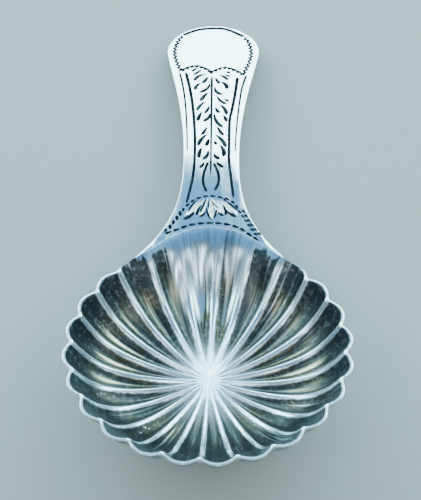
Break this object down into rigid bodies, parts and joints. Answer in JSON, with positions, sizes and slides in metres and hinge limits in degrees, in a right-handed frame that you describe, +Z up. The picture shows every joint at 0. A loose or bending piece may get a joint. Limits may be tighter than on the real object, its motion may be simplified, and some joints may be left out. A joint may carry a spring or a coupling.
{
  "type": "caddy spoon",
  "caption": "Short silver spoon for measuring tea leaves, with a round fluted shell bowl and a flared flat handle with bright-cut ornament",
  "frame": {"origin": "on the table that the spoon rests on, under the middle of its outline", "axes": "+Z up from the table, +Y along the handle towards its tip, +X to the right when the bowl is nearest the viewer"},
  "size_m": [0.0386, 0.0852, 0.0119],
  "materials": {
    "bowl_silver": "worn polished silver, dark tarnish in the channels, bright crests",
    "handle_silver": "worn polished silver with dark bright-cut lines",
    "hard_solder": "filed and polished flush silver solder"
  },
  "bodies": {
    "root": {"bowl": "bowl_silver", "handle": "handle_silver", "solder_seam": "hard_solder"}
  },
  "joints": []
}
